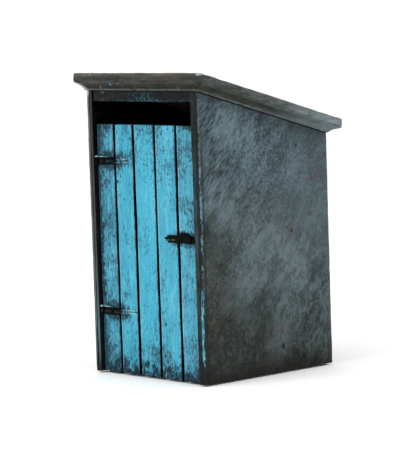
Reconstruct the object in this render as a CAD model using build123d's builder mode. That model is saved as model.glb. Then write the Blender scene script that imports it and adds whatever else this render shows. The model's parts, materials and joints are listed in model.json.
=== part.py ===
from build123d import *
import math
import os

# A free-standing book drop box of painted boards, in millimetres.
# The origin is under the middle of its outline, at the ground. +Z is up, and -Y is the front.

# Carcass
body_width = 600
body_depth = 650
wall_height = 1080  # ground to the roof's underside, at the front
roof_fall = 185  # how much lower the walls are at the back
panel = 16
glide_height = 6
left_post_width = 14
right_post_width = 20
post_depth = 50
rear_post = 25
bearer_width = 45
bearer_height = 40
floor_thickness = 12

# Roof and eave
roof_thickness = 33
roof_side = 50
roof_front = 26
roof_back = 40
roof_round = 12
mould_drop = 26
mould_lip = 3
mould_setback = 4
cleat = 25

# Front
header_height = 67
header_setback = 6
header_thickness = 20
slot_height = 85
sill_height = 21
sill_depth = 22

# Door
door_setback = 15
plank_thickness = 20
plank_shares = (0.95, 0.97, 1.08, 1.07, 0.93)  # boards of uneven width
plank_gap = 7
plank_chamfer = 2.5
hinge_side_gap = 2.5
latch_side_gap = 3
door_floor_gap = 2
ledge_height = 90
ledge_thickness = 18
ledge_inset = 16.5
brace_width = 80
stop_gap = 1
stop_width = 12
upper_hinge_below_top = 134
lower_hinge_height = 237
latch_above_middle = 5.5  # from halfway between the hinges

# Hinges
hinge_height = 32
hinge_reach = 126  # from the door's edge
strap_thickness = 2.5
rib_height = 8
rib_depth = 3.5
rib_inset = 2
barrel_radius = 5.5
hinge_pin_radius = 3
pin_head_radius = 4.6
pin_head_height = 2
running_clearance = 0.05
knuckle_height = 10.4
knuckle_gap = 0.3
leaf_thickness = 1.8
leaf_margin = 3

# Latch
latch_plate_length = 150
latch_plate_height = 28
latch_plate_thickness = 1.5
bolt_thickness = 5
bolt_height = 14
bolt_tail = 3.5  # how far the bolt shows past its plate
bolt_throw = 20
bolt_setback = 2.5
bolt_clearance = 0.3
bolt_lift = 0.5
guide_wall = 2.7
guide_start = 32  # from the plate's end, past the tab's travel
guide_length = 14
keeper_length = 82
keeper_shoulder = 11
keeper_rise = 25
guide_foot = 4
guide_round = 2
tab_length = 9
tab_height = 6
tab_depth = 7
tab_spigot_radius = 2.2
socket_clearance = 0.7
strike_thickness = 1.5
strike_height = 44
strike_depth = 27
strike_margin = 3

# Inside
chute_run = 330
chute_drop = 200
chute_thickness = 12
chute_cleat = 20
chute_side_gap = 0.5
mat_thickness = 10
mat_margin = 4

# Fasteners
screw_radius = 2
screw_clearance = 0.1
screw_head_radius = 3.5
screw_head_height = 2
sunk_head_radius = 3.4
strap_screw_length = 30
ledge_screw_length = 30
small_screw_length = 14
glide_radius = 20
glide_stem_radius = 3
glide_stem_length = 20
glide_inset = 70
anchor_radius = 5.5
anchor_washer_radius = 12
anchor_inset = 100

# Places that follow from the sizes above
front = -(body_depth + roof_back - roof_front) / 2
back = front + body_depth
side = body_width / 2
inner = side - panel
left_opening = left_post_width - inner
right_opening = inner - right_post_width
slope = roof_fall / body_depth
tilt = math.degrees(math.atan(slope))
floor_bottom = glide_height + bearer_height
floor_top = floor_bottom + floor_thickness
header_bottom = wall_height - header_height
door_top = header_bottom - slot_height
door_bottom = glide_height + door_floor_gap
door_left = left_opening + hinge_side_gap
door_right = right_opening - latch_side_gap
door_front = front + door_setback
door_back = door_front + plank_thickness
stop_front = door_back + stop_gap
ledge_back = door_back + ledge_thickness
ledge_left = door_left + ledge_inset
ledge_right = door_right - ledge_inset
post_back = front + post_depth
sill_back = stop_front + sill_depth
sill_top = door_top - door_floor_gap
upper_hinge_height = door_top - upper_hinge_below_top
latch_height = (upper_hinge_height + lower_hinge_height) / 2 + latch_above_middle
hinge_levels = {"upper": upper_hinge_height, "lower": lower_hinge_height}
ledge_levels = {"top": upper_hinge_height, "middle": latch_height, "bottom": lower_hinge_height}

strap_front = door_front - strap_thickness
pivot_x = left_opening + barrel_radius + 0.5
pivot_y = door_front - barrel_radius - knuckle_gap
latch_plate_front = door_front - latch_plate_thickness
bolt_back = latch_plate_front - bolt_lift
bolt_front = bolt_back - bolt_thickness
guide_front = bolt_front - bolt_clearance - guide_wall
bolt_end = door_right - bolt_setback
socket_depth = bolt_throw + bolt_end - right_opening + 0.5


def roof_underside(y):
    return wall_height - slope * (y - front)


def front_plane(y):
    """Upright plane facing the front: local x and y are X and Z."""
    return Plane(origin=(0, y, 0), x_dir=(1, 0, 0), z_dir=(0, -1, 0))


def roof_plane(drop=0):
    """Plane of the roof's underside, or one straight below it."""
    middle = (front + back) / 2
    normal = (0, math.sin(math.radians(tilt)), math.cos(math.radians(tilt)))
    return Plane(origin=(0, middle, roof_underside(middle) - drop), x_dir=(1, 0, 0), z_dir=normal)


def save(piece, name):
    piece.part.label = name
    export_step(piece.part, f"parts/{name}.step")


def side_prism(points, x, width):
    """Outline of (Y, Z) points, extruded towards +X from x."""
    with BuildPart() as made:
        with BuildSketch(Plane.YZ.offset(x)):
            with BuildLine():
                Polyline(*points, close=True)
            make_face()
        extrude(amount=width)
    return made.part


def block(x, y, z):
    """Box between two corners: each of x, y and z is a (low, high) pair."""
    with BuildPart(Plane.XY.offset(z[0])) as made:
        with Locations(((x[0] + x[1]) / 2, (y[0] + y[1]) / 2)):
            Box(x[1] - x[0], y[1] - y[0], z[1] - z[0], align=(Align.CENTER, Align.CENTER, Align.MIN))
    return made.part


def soft_block(x, y, z, radius):
    """Box between two corners, rounded where its front face meets its sides."""
    with BuildPart() as made:
        add(block(x, y, z))
        fillet(made.faces().sort_by(Axis.Y)[0].edges(), radius)
    return made.part


def turned(points):
    """Solid of revolution about Z from an outline of (radius, Z) points."""
    with BuildPart() as made:
        with BuildSketch(Plane.XZ):
            with BuildLine():
                Polyline(*points, close=True)
            make_face()
        revolve(axis=Axis.Z)
    return made.part


def dome_screw(length, clearance=0):
    """Screw that stands on its head's underside at Z 0 and points up +Z."""
    shank = screw_radius + clearance
    head = screw_head_radius
    outline = [(0, -screw_head_height), (head - 1, -screw_head_height), (head, -0.8), (head, 0)]
    return turned(outline + [(shank, 0), (shank, length), (0, length)])


def sunk_screw(length, clearance=0):
    """Countersunk screw with its flat head at Z 0, pointing up +Z."""
    head = sunk_head_radius + clearance
    shank = screw_radius + clearance
    return turned([(0, 0), (head, 0), (shank, head - shank), (shank, length), (0, length)])


def rod(radius, length):
    return turned([(0, 0), (radius, 0), (radius, length), (0, length)])


def placed(piece, plane, points):
    """Copies of a piece at points on a plane, with its Z along the plane's normal."""
    with BuildPart() as made:
        with Locations(*[plane.location * Location((u, v, 0)) for u, v in points]):
            add(piece)
    return made.part


os.makedirs("parts", exist_ok=True)

# Patterns shared by the pieces that screws, stems and anchors pass through
into_door = Plane(origin=(0, strap_front, 0), x_dir=(-1, 0, 0), z_dir=(0, 1, 0))  # local x is -X
into_plate = Plane(origin=(0, latch_plate_front, 0), x_dir=(-1, 0, 0), z_dir=(0, 1, 0))
through_ledge = front_plane(ledge_back)

bearer_rows = (post_back + bearer_width / 2, back - panel - bearer_width / 2)
glide_points = [(x, y) for x in (glide_inset - side, side - glide_inset) for y in bearer_rows]
anchor_points = [(x, y) for x in (anchor_inset - side, side - anchor_inset) for y in bearer_rows]

plank_unit = (door_right - door_left - (len(plank_shares) - 1) * plank_gap) / sum(plank_shares)
planks = []
plank_edge = door_left
for share in plank_shares:
    planks.append((plank_edge, plank_edge + share * plank_unit))
    plank_edge += share * plank_unit + plank_gap

strap_start = pivot_x + barrel_radius + 1
strap_end = door_left + hinge_reach
strap_screw_x = (planks[0][0] + 25, planks[0][1] - 20, (planks[1][0] + strap_end) / 2)
strap_points = [(-x, z) for x in strap_screw_x for z in hinge_levels.values()]

ledge_points = [
    (left + share * (right - left), z + lift)
    for left, right in planks
    for z in ledge_levels.values()
    for share, lift in ((0.3, ledge_height / 4), (0.7, -ledge_height / 4))
]

# Braces rise from the hinge side to the latch side, each between two ledges.
brace_spans = {
    "upper": (latch_height + ledge_height / 2, upper_hinge_height - ledge_height / 2),
    "lower": (lower_hinge_height + ledge_height / 2, latch_height - ledge_height / 2),
}
brace_screw_points = []
for low, high in brace_spans.values():
    for left, right in planks[1:4]:
        middle = (left + right) / 2
        share = (middle - ledge_left) / (ledge_right - ledge_left)
        brace_screw_points.append((middle, low + share * (high - low)))

latch_right = bolt_end - 2
latch_left = latch_right - latch_plate_length
keeper_right = latch_right - 18
keeper_left = keeper_right - keeper_length
guide_left = latch_left + guide_start
guide_right = guide_left + guide_length
latch_half = latch_plate_height / 2
latch_screw_x = (latch_left + 6, guide_left - 4, latch_right - 5)
latch_screw_z = (latch_height + latch_half - 3.6, latch_height - latch_half + 3.6)
latch_points = [(-x, z) for x in latch_screw_x for z in latch_screw_z]

leaf_screw_y = pivot_y + 14
leaf_points = [(z + lift, leaf_screw_y) for z in hinge_levels.values() for lift in (-9, 9)]  # local x is Z
into_left_post = Plane(origin=(left_opening + leaf_thickness, 0, 0), x_dir=(0, 0, 1), z_dir=(-1, 0, 0))
into_right_post = Plane(origin=(right_opening, 0, 0), x_dir=(0, 0, -1), z_dir=(1, 0, 0))
strike_row = front + strike_margin + strike_depth / 2
strike_points = [(lift - latch_height, strike_row) for lift in (-16, 16)]  # local x is -Z

strap_hole = rod(screw_radius + screw_clearance, strap_screw_length + 0.5)
ledge_hole = rod(screw_radius + screw_clearance, ledge_screw_length + 0.5)
sunk_hole = sunk_screw(small_screw_length + 0.5, screw_clearance)
strap_holes = placed(strap_hole, into_door, strap_points)
ledge_holes = placed(ledge_hole, through_ledge, ledge_points + brace_screw_points)
latch_holes = placed(sunk_hole, into_plate, latch_points)
leaf_holes = placed(sunk_hole, into_left_post, leaf_points)
strike_holes = placed(sunk_hole, into_right_post, strike_points)
socket = block(
    (right_opening, right_opening + socket_depth),
    (bolt_front - socket_clearance, bolt_back + socket_clearance),
    (latch_height - bolt_height / 2 - socket_clearance, latch_height + bolt_height / 2 + socket_clearance),
)

# Base: bearers on glides, with a floor that can be anchored through
with BuildPart() as glides:
    with BuildSketch():
        with Locations(*glide_points):
            Circle(glide_radius)
    extrude(amount=glide_height)
    fillet(glides.edges().filter_by(GeomType.CIRCLE).group_by(Axis.Z)[0], 1)
    with BuildSketch(Plane.XY.offset(glide_height)):
        with Locations(*glide_points):
            Circle(glide_stem_radius)
    extrude(amount=glide_stem_length)
save(glides, "glides")

middle_row = sum(bearer_rows) / 2
for place, row in (("front", bearer_rows[0]), ("middle", middle_row), ("back", bearer_rows[1])):
    with BuildPart() as floor_bearer:
        rows = (row - bearer_width / 2, row + bearer_width / 2)
        add(block((-inner, inner), rows, (glide_height, floor_bottom)))
        stems = [point for point in glide_points if point[1] == row]
        anchors = [point for point in anchor_points if point[1] == row]
        if stems:
            with Locations(*[(x, y, glide_height) for x, y in stems]):
                stem_hole = glide_stem_radius + running_clearance
                Cylinder(stem_hole, 2 * (glide_stem_length + 1), mode=Mode.SUBTRACT)
            with Locations(*[(x, y, glide_height) for x, y in anchors]):
                Cylinder(anchor_radius, 3 * bearer_height, mode=Mode.SUBTRACT)
    save(floor_bearer, f"floor_bearer_{place}")

with BuildPart() as floor_panel:
    add(block((-inner, inner), (post_back, back - panel), (floor_bottom, floor_top)))
    with Locations(*[(x, y, floor_top) for x, y in anchor_points]):
        Cylinder(anchor_radius, 3 * floor_thickness, mode=Mode.SUBTRACT)
save(floor_panel, "floor_panel")

mat_half = inner - rear_post - mat_margin
with BuildPart() as floor_mat:
    rows = (post_back + mat_margin, back - panel - mat_margin)
    add(block((-mat_half, mat_half), rows, (floor_top, floor_top + mat_thickness)))
    fillet(floor_mat.edges().filter_by(Axis.Z), 6)
    with Locations(*[(x, y, floor_top) for x, y in anchor_points]):
        Cylinder(anchor_washer_radius, 3 * mat_thickness, mode=Mode.SUBTRACT)
save(floor_mat, "floor_mat")

# Walls: side panels past the ends of the back panel, with posts inside the corners
wall_outline = [
    (front, glide_height),
    (back, glide_height),
    (back, roof_underside(back)),
    (front, roof_underside(front)),
]
for place, edge in (("left", -side), ("right", inner)):
    with BuildPart() as side_panel:
        add(side_prism(wall_outline, edge, panel))
    save(side_panel, f"side_panel_{place}")

back_inside = back - panel
with BuildPart() as back_panel:
    outline = [
        (back_inside, glide_height),
        (back, glide_height),
        (back, roof_underside(back)),
        (back_inside, roof_underside(back_inside)),
    ]
    add(side_prism(outline, -inner, 2 * inner))
save(back_panel, "back_panel")

front_post_outline = [
    (front, glide_height),
    (post_back, glide_height),
    (post_back, roof_underside(post_back)),
    (front, roof_underside(front)),
]
with BuildPart() as front_post_left:
    add(side_prism(front_post_outline, -inner, left_post_width))
    add(leaf_holes, mode=Mode.SUBTRACT)
save(front_post_left, "front_post_left")

strike_y = (front + strike_margin, front + strike_margin + strike_depth)
strike_z = (latch_height - strike_height / 2, latch_height + strike_height / 2)
strike_block = block((right_opening, right_opening + strike_thickness), strike_y, strike_z)
with BuildPart() as front_post_right:
    add(side_prism(front_post_outline, right_opening, right_post_width))
    add(strike_block, mode=Mode.SUBTRACT)
    add(socket, mode=Mode.SUBTRACT)
    add(strike_holes, mode=Mode.SUBTRACT)
save(front_post_right, "front_post_right")

with BuildPart() as strike_plate:
    add(strike_block)
    add(socket, mode=Mode.SUBTRACT)
    add(strike_holes, mode=Mode.SUBTRACT)
save(strike_plate, "strike_plate")

with BuildPart() as strike_screws:
    add(placed(sunk_screw(small_screw_length), into_right_post, strike_points))
save(strike_screws, "strike_screws")

rear_inside = back_inside - rear_post
rear_post_outline = [
    (rear_inside, floor_top),
    (back_inside, floor_top),
    (back_inside, roof_underside(back_inside)),
    (rear_inside, roof_underside(rear_inside)),
]
for place, edge in (("left", -inner), ("right", inner - rear_post)):
    with BuildPart() as rear_corner_post:
        add(side_prism(rear_post_outline, edge, rear_post))
    save(rear_corner_post, f"rear_post_{place}")

header_front = front + header_setback
header_back = header_front + header_thickness
with BuildPart() as header_rail:
    outline = [
        (header_front, header_bottom),
        (header_back, header_bottom),
        (header_back, roof_underside(header_back)),
        (header_front, roof_underside(header_front)),
    ]
    add(side_prism(outline, left_opening, right_opening - left_opening))
save(header_rail, "header_rail")

with BuildPart() as sill_rail:
    add(block((left_opening, right_opening), (stop_front, sill_back), (sill_top - sill_height, sill_top)))
save(sill_rail, "sill_rail")

for place, edge in (("left", left_opening), ("right", right_opening - stop_width)):
    with BuildPart() as door_stop:
        levels = (glide_height, sill_top - sill_height)
        add(block((edge, edge + stop_width), (stop_front, post_back), levels))
    save(door_stop, f"door_stop_{place}")

# Chute: a sloping board behind the slot, on a cleat at each side
chute_end = sill_back + chute_run
chute_pitch = math.atan(chute_drop / chute_run)
chute_plumb = chute_thickness / math.cos(chute_pitch)
chute_low = sill_top - chute_drop
with BuildPart() as chute_board:
    outline = [
        (sill_back, sill_top),
        (chute_end, chute_low),
        (chute_end, chute_low - chute_plumb),
        (sill_back, sill_top - chute_plumb),
    ]
    add(side_prism(outline, chute_side_gap - inner, 2 * (inner - chute_side_gap)))
save(chute_board, "chute_board")

for place, edge in (("left", -inner), ("right", inner - chute_cleat)):
    with BuildPart() as chute_bearer:
        outline = [
            (sill_back, sill_top - chute_plumb),
            (chute_end, chute_low - chute_plumb),
            (chute_end, chute_low - chute_plumb - chute_cleat),
            (sill_back, sill_top - chute_plumb - chute_cleat),
        ]
        add(side_prism(outline, edge, chute_cleat))
    save(chute_bearer, f"chute_cleat_{place}")

# Roof: one plumb-edged slab on cleats, with a mitred moulding under its eaves
for place, edge in (("left", -inner), ("right", inner - cleat)):
    with BuildPart() as side_cleat:
        outline = [
            (post_back, roof_underside(post_back)),
            (rear_inside, roof_underside(rear_inside)),
            (rear_inside, roof_underside(rear_inside) - cleat),
            (post_back, roof_underside(post_back) - cleat),
        ]
        add(side_prism(outline, edge, cleat))
    save(side_cleat, f"roof_cleat_{place}")

with BuildPart() as roof_cleat_back:
    outline = [
        (rear_inside, roof_underside(rear_inside)),
        (back_inside, roof_underside(back_inside)),
        (back_inside, roof_underside(rear_inside) - cleat),
        (rear_inside, roof_underside(rear_inside) - cleat),
    ]
    add(side_prism(outline, rear_post - inner, 2 * (inner - rear_post)))
save(roof_cleat_back, "roof_cleat_back")

eave_front = front - roof_front
eave_back = back + roof_back
eave_side = side + roof_side
with BuildPart() as roof_panel:
    outline = [
        (eave_front, roof_underside(eave_front)),
        (eave_back, roof_underside(eave_back)),
        (eave_back, roof_underside(eave_back) + roof_thickness),
        (eave_front, roof_underside(eave_front) + roof_thickness),
    ]
    add(side_prism(outline, -eave_side, 2 * eave_side))
    fillet(roof_panel.edges().filter_by(Axis.Z), roof_round)
    fillet(roof_panel.faces().sort_by(Axis.Z)[-1].outer_wire().edges(), roof_round / 2)
save(roof_panel, "roof_panel")

stretch = 1 / math.cos(math.radians(tilt))
mould_run = (front - eave_front - mould_setback, eave_back - back - mould_setback)
with BuildPart() as eave_ring:
    with BuildSketch(roof_plane(mould_drop)):
        Rectangle(2 * (side + mould_lip), (body_depth + 2 * mould_lip) * stretch)
    with BuildSketch(roof_plane()):
        with Locations((0, (mould_run[1] - mould_run[0]) / 2 * stretch)):
            outer_length = body_depth + mould_run[0] + mould_run[1]
            Rectangle(2 * (eave_side - mould_setback), outer_length * stretch)
    loft(ruled=True)
    add(block((-side, side), (front, back), (0, 2 * wall_height)), mode=Mode.SUBTRACT)

inner_corners = [(-side, front), (side, front), (side, back), (-side, back)]
eave_reach = side + roof_side - mould_setback
eave_rows = (eave_front + mould_setback, eave_back - mould_setback)
outer_corners = [
    (-eave_reach, eave_rows[0]),
    (eave_reach, eave_rows[0]),
    (eave_reach, eave_rows[1]),
    (-eave_reach, eave_rows[1]),
]
beyond = [(2 * u[0] - v[0], 2 * u[1] - v[1]) for u, v in zip(outer_corners, inner_corners)]
for n, place in enumerate(("front", "right", "back", "left")):
    with BuildPart() as eave_mould:
        add(eave_ring.part)
        m = (n + 1) % 4
        with BuildSketch():
            with BuildLine():
                Polyline(inner_corners[n], inner_corners[m], beyond[m], beyond[n], close=True)
            make_face()
        extrude(amount=2 * wall_height, mode=Mode.INTERSECT)
    save(eave_mould, f"eave_mould_{place}")

# Door: planks on ledges and braces
for number, (left, right) in enumerate(planks, start=1):
    with BuildPart() as door_plank:
        add(block((left, right), (door_front, door_back), (door_bottom, door_top)))
        front_edges = door_plank.edges().filter_by(Axis.Z).group_by(Axis.Y)[0]
        chamfer(front_edges, plank_chamfer)
        add(strap_holes, mode=Mode.SUBTRACT)
        add(ledge_holes, mode=Mode.SUBTRACT)
        add(latch_holes, mode=Mode.SUBTRACT)
    save(door_plank, f"door_plank_{number}")

for place, level in ledge_levels.items():
    with BuildPart() as door_ledge:
        levels = (level - ledge_height / 2, level + ledge_height / 2)
        add(block((ledge_left, ledge_right), (door_back, ledge_back), levels))
        chamfer(door_ledge.faces().sort_by(Axis.Y)[-1].outer_wire().edges(), 3)
        add(strap_holes, mode=Mode.SUBTRACT)
        add(ledge_holes, mode=Mode.SUBTRACT)
    save(door_ledge, f"door_ledge_{place}")

for place, (low, high) in brace_spans.items():
    with BuildPart() as door_brace:
        with BuildSketch(front_plane(door_back)):
            with BuildLine():
                Polyline(
                    (ledge_left, low),
                    (ledge_left + brace_width, low),
                    (ledge_right, high),
                    (ledge_right - brace_width, high),
                    close=True,
                )
            make_face()
        extrude(amount=-ledge_thickness)
        add(ledge_holes, mode=Mode.SUBTRACT)
    save(door_brace, f"door_brace_{place}")

with BuildPart() as ledge_screws:
    add(placed(dome_screw(ledge_screw_length), through_ledge, ledge_points))
save(ledge_screws, "ledge_screws")

with BuildPart() as brace_screws:
    add(placed(dome_screw(ledge_screw_length), through_ledge, brace_screw_points))
save(brace_screws, "brace_screws")

# Hinges: the strap carries the middle knuckle, and the leaf on the post the outer two
knuckle_half = knuckle_height / 2
leaf_rows = (front + leaf_margin, stop_front - leaf_margin)
for place, level in hinge_levels.items():
    low = level - hinge_height / 2
    high = level + hinge_height / 2
    gap_low = level - knuckle_half - knuckle_gap
    gap_high = level + knuckle_half + knuckle_gap
    barrel = [(pivot_x, pivot_y)]

    with BuildPart() as hinge_strap:
        add(block((strap_start, strap_end), (strap_front, door_front), (low, high)))
        end_edges = hinge_strap.edges().filter_by(Axis.Y).group_by(Axis.X)[-1]
        fillet(end_edges, 5)
        rib_rows = (strap_front - rib_depth, strap_front)
        for rib_low in (low + rib_inset, high - rib_inset - rib_height):
            add(soft_block((strap_start + 8, strap_end - 4), rib_rows, (rib_low, rib_low + rib_height), 2.5))
        middle = (level - knuckle_half, level + knuckle_half)
        add(block((pivot_x, strap_start), (strap_front, door_front), middle))
        with BuildSketch(Plane.XY.offset(middle[0])):
            with Locations(*barrel):
                Circle(barrel_radius)
        extrude(amount=knuckle_height)
        with Locations((pivot_x, pivot_y, level)):
            Cylinder(hinge_pin_radius + running_clearance, 2 * hinge_height, mode=Mode.SUBTRACT)
        add(strap_holes, mode=Mode.SUBTRACT)
    save(hinge_strap, f"hinge_strap_{place}")

    with BuildPart() as hinge_leaf:
        add(block((left_opening, left_opening + leaf_thickness), leaf_rows, (low, high)))
        with BuildSketch(Plane.XY.offset(low)):
            with Locations(*barrel):
                Circle(barrel_radius)
        extrude(amount=hinge_height)
        notch_rows = (leaf_rows[0] - 1, pivot_y + barrel_radius + 1)
        notch = block((left_opening, pivot_x + 2 * barrel_radius), notch_rows, (gap_low, gap_high))
        add(notch, mode=Mode.SUBTRACT)
        with Locations((pivot_x, pivot_y, level)):
            Cylinder(hinge_pin_radius + running_clearance, 2 * hinge_height, mode=Mode.SUBTRACT)
        add(leaf_holes, mode=Mode.SUBTRACT)
    save(hinge_leaf, f"hinge_leaf_{place}")

    with BuildPart() as hinge_pin:
        pin_reach = hinge_height / 2 + pin_head_height
        head = pin_head_radius
        outline = [
            (0, -pin_reach),
            (head - 0.8, -pin_reach),
            (head, 0.8 - pin_reach),
            (head, -hinge_height / 2),
            (hinge_pin_radius, -hinge_height / 2),
            (hinge_pin_radius, hinge_height / 2),
            (head, hinge_height / 2),
            (head, pin_reach - 0.8),
            (head - 0.8, pin_reach),
            (0, pin_reach),
        ]
        with Locations((pivot_x, pivot_y, level)):
            add(turned(outline))
    save(hinge_pin, f"hinge_pin_{place}")

with BuildPart() as strap_screws:
    add(placed(dome_screw(strap_screw_length), into_door, strap_points))
save(strap_screws, "strap_screws")

with BuildPart() as leaf_screws:
    add(placed(sunk_screw(small_screw_length), into_left_post, leaf_points))
save(leaf_screws, "leaf_screws")

# Latch: a flat bolt that slides through a guide and an arched keeper, moved by its tab
bolt_rows = (bolt_front, bolt_back)
bolt_levels = (latch_height - bolt_height / 2, latch_height + bolt_height / 2)
bolt_start = latch_left - bolt_tail
latch_levels = (latch_height - latch_half, latch_height + latch_half)
with BuildPart() as latch_plate:
    add(block((latch_left, latch_right), (latch_plate_front, door_front), latch_levels))
    add(latch_holes, mode=Mode.SUBTRACT)
save(latch_plate, "latch_plate")

with BuildPart() as latch_screws:
    add(placed(sunk_screw(small_screw_length), into_plate, latch_points))
save(latch_screws, "latch_screws")

way_rows = (bolt_front - bolt_clearance, latch_plate_front)
way_levels = (bolt_levels[0] - bolt_clearance, bolt_levels[1] + bolt_clearance)
guide_rows = (guide_front, latch_plate_front)
guide_levels = (way_levels[0] - guide_foot, way_levels[1] + guide_foot)
bolt_way = block((latch_left, latch_right), way_rows, way_levels)
with BuildPart() as latch_guide:
    add(block((guide_left, guide_right), guide_rows, guide_levels))
    fillet(latch_guide.edges().filter_by(Axis.X).group_by(Axis.Y)[0], guide_round)
    add(bolt_way, mode=Mode.SUBTRACT)
save(latch_guide, "latch_guide")

keeper_low = guide_levels[0]
with BuildPart() as latch_keeper:
    with BuildSketch(front_plane(door_front)):
        with BuildLine():
            shoulders = [(keeper_left, latch_height + keeper_shoulder), (keeper_right, latch_height + keeper_shoulder)]
            Polyline(shoulders[0], (keeper_left, keeper_low), (keeper_right, keeper_low), shoulders[1])
            crown = ((keeper_left + keeper_right) / 2, latch_height + keeper_rise)
            ThreePointArc(shoulders[1], crown, shoulders[0])
        make_face()
    extrude(amount=door_front - guide_front)
    fillet(latch_keeper.faces().sort_by(Axis.Y)[0].edges(), guide_round)
    behind = (latch_plate_front, door_front)
    add(block((latch_left, latch_right), behind, (keeper_low, latch_levels[1] + running_clearance)), mode=Mode.SUBTRACT)
    add(bolt_way, mode=Mode.SUBTRACT)
save(latch_keeper, "latch_keeper")

tab_x = bolt_start + tab_length / 2 + 1
tab_z = latch_height + bolt_height / 2 - tab_height / 2 - 0.5
with BuildPart() as latch_bolt:
    add(block((bolt_start, bolt_end), bolt_rows, bolt_levels))
    chamfer(latch_bolt.edges().filter_by(Axis.Z), 1)
    with Locations((tab_x, (bolt_front + bolt_back) / 2, tab_z)):
        spigot_hole = tab_spigot_radius + running_clearance
        Cylinder(spigot_hole, 2 * bolt_thickness, rotation=(90, 0, 0), mode=Mode.SUBTRACT)
save(latch_bolt, "latch_bolt")

tab_ends = (tab_x - tab_length / 2, tab_x + tab_length / 2)
with BuildPart() as latch_tab:
    add(soft_block(tab_ends, (bolt_front - tab_depth, bolt_front), (tab_z - tab_height / 2, tab_z + tab_height / 2), 2))
    with BuildSketch(front_plane(bolt_front)):
        with Locations((tab_x, tab_z)):
            Circle(tab_spigot_radius)
    extrude(amount=bolt_clearance - bolt_thickness)
save(latch_tab, "latch_tab")
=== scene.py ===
import bpy
import bmesh
import json
import math
from mathutils import Matrix, Vector, noise


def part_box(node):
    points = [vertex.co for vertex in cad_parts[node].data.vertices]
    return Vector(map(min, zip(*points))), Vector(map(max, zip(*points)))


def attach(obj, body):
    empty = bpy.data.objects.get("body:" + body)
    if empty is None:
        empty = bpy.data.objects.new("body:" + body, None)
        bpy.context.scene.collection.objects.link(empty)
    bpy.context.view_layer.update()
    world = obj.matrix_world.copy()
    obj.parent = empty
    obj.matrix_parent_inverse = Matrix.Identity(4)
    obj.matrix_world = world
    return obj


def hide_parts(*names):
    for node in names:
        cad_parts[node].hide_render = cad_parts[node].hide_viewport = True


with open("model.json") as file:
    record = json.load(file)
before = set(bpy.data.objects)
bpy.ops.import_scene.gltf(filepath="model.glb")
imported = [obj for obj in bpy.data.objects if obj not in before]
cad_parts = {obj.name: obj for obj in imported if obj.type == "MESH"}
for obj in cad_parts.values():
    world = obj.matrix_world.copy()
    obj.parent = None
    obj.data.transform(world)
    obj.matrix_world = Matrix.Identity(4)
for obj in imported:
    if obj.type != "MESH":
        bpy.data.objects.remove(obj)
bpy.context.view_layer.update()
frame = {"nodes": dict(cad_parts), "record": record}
nodes = frame["nodes"]
print("frame loaded:", len(nodes), "nodes")

# camera, lamps and floor

camera = {
    "azimuth": 47.07,
    "elevation": 5.42,
    "roll": -1.85,
    "target": (0.01432, -0.032, 0.52432),
    "distance": 8.85365,
    "lens": 187.27,
}

studio = {
    "keyPower": 110,
    "keySize": 3.0,
    "keyPlace": (-0.6, -4.6, 3.4),
    "sidePower": 45,
    "sideSize": 3.0,
    "sidePlace": (5.0, 0.4, 2.6),
    "sky": 1.12,
    "floorTone": 0.96,
    "paintShare": 0.6,
}


def link(thing):
    bpy.context.scene.collection.objects.link(thing)


def makeCamera(s):
    azimuth, elevation, roll = (math.radians(s[k]) for k in ("azimuth", "elevation", "roll"))
    flat = math.cos(elevation)
    back = Vector((math.sin(azimuth) * flat, -math.cos(azimuth) * flat, math.sin(elevation)))
    right = (-back).cross(Vector((0, 0, 1))).normalized()
    up = right.cross(-back)
    camX = right * math.cos(roll) + up * math.sin(roll)
    camY = up * math.cos(roll) - right * math.sin(roll)
    turn = Matrix((camX, camY, back)).transposed().to_4x4()
    data = bpy.data.cameras.new("camera")
    data.lens = s["lens"]
    data.clip_end = 100
    cam = bpy.data.objects.new("camera", data)
    cam.matrix_world = Matrix.Translation(Vector(s["target"]) + back * s["distance"]) @ turn
    link(cam)
    bpy.context.scene.camera = cam


def makeLamp(name, power, size, place, aim=(0, 0, 0.6)):
    data = bpy.data.lights.new(name, "AREA")
    data.energy = power
    data.size = size
    lamp = bpy.data.objects.new(name, data)
    lamp.location = place
    lamp.rotation_euler = (Vector(aim) - Vector(place)).to_track_quat("-Z", "Y").to_euler()
    link(lamp)


makeCamera(camera)
makeLamp("key", studio["keyPower"], studio["keySize"], studio["keyPlace"])
makeLamp("side", studio["sidePower"], studio["sideSize"], studio["sidePlace"])

world = bpy.data.worlds.new("studio")
world.use_nodes = True
sky = world.node_tree.nodes["Background"]
sky.inputs["Color"].default_value = (1, 1, 1, 1)
sky.inputs["Strength"].default_value = studio["sky"]
bpy.context.scene.world = world
bpy.context.scene.view_settings.view_transform = "Standard"
print("camera and lights made")

# places taken from the frame

wallLow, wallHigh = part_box("side_panel_right")
backLow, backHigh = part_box("back_panel")
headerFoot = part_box("header_rail")[0][2]
plankCount = 5
plankBoxes = [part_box("door_plank_%d" % (n + 1)) for n in range(plankCount)]
strapBoxes = [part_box("hinge_strap_" + place) for place in ("upper", "lower")]
latchLow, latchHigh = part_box("latch_plate")
doorLow = Vector(plankBoxes[0][0])
doorHigh = Vector(plankBoxes[-1][1])
wallFront = wallLow[1]
wallTop = wallHigh[2]
slope = (wallTop - backHigh[2]) / (backLow[1] - wallFront)
latchMiddle = (latchLow[2] + latchHigh[2]) / 2

# how far the eave mouldings hang below the top of the walls
mouldDrop = 0.026

# shader helpers


def paint(red, green, blue):
    # a paint chart's colour, 0 to 255, made linear and scaled for this studio's light
    def linear(v):
        v = v / 255
        low = v / 12.92 if v <= 0.04045 else ((v + 0.055) / 1.055) ** 2.4
        return low * studio["paintShare"]
    return (linear(red), linear(green), linear(blue), 1.0)


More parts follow.
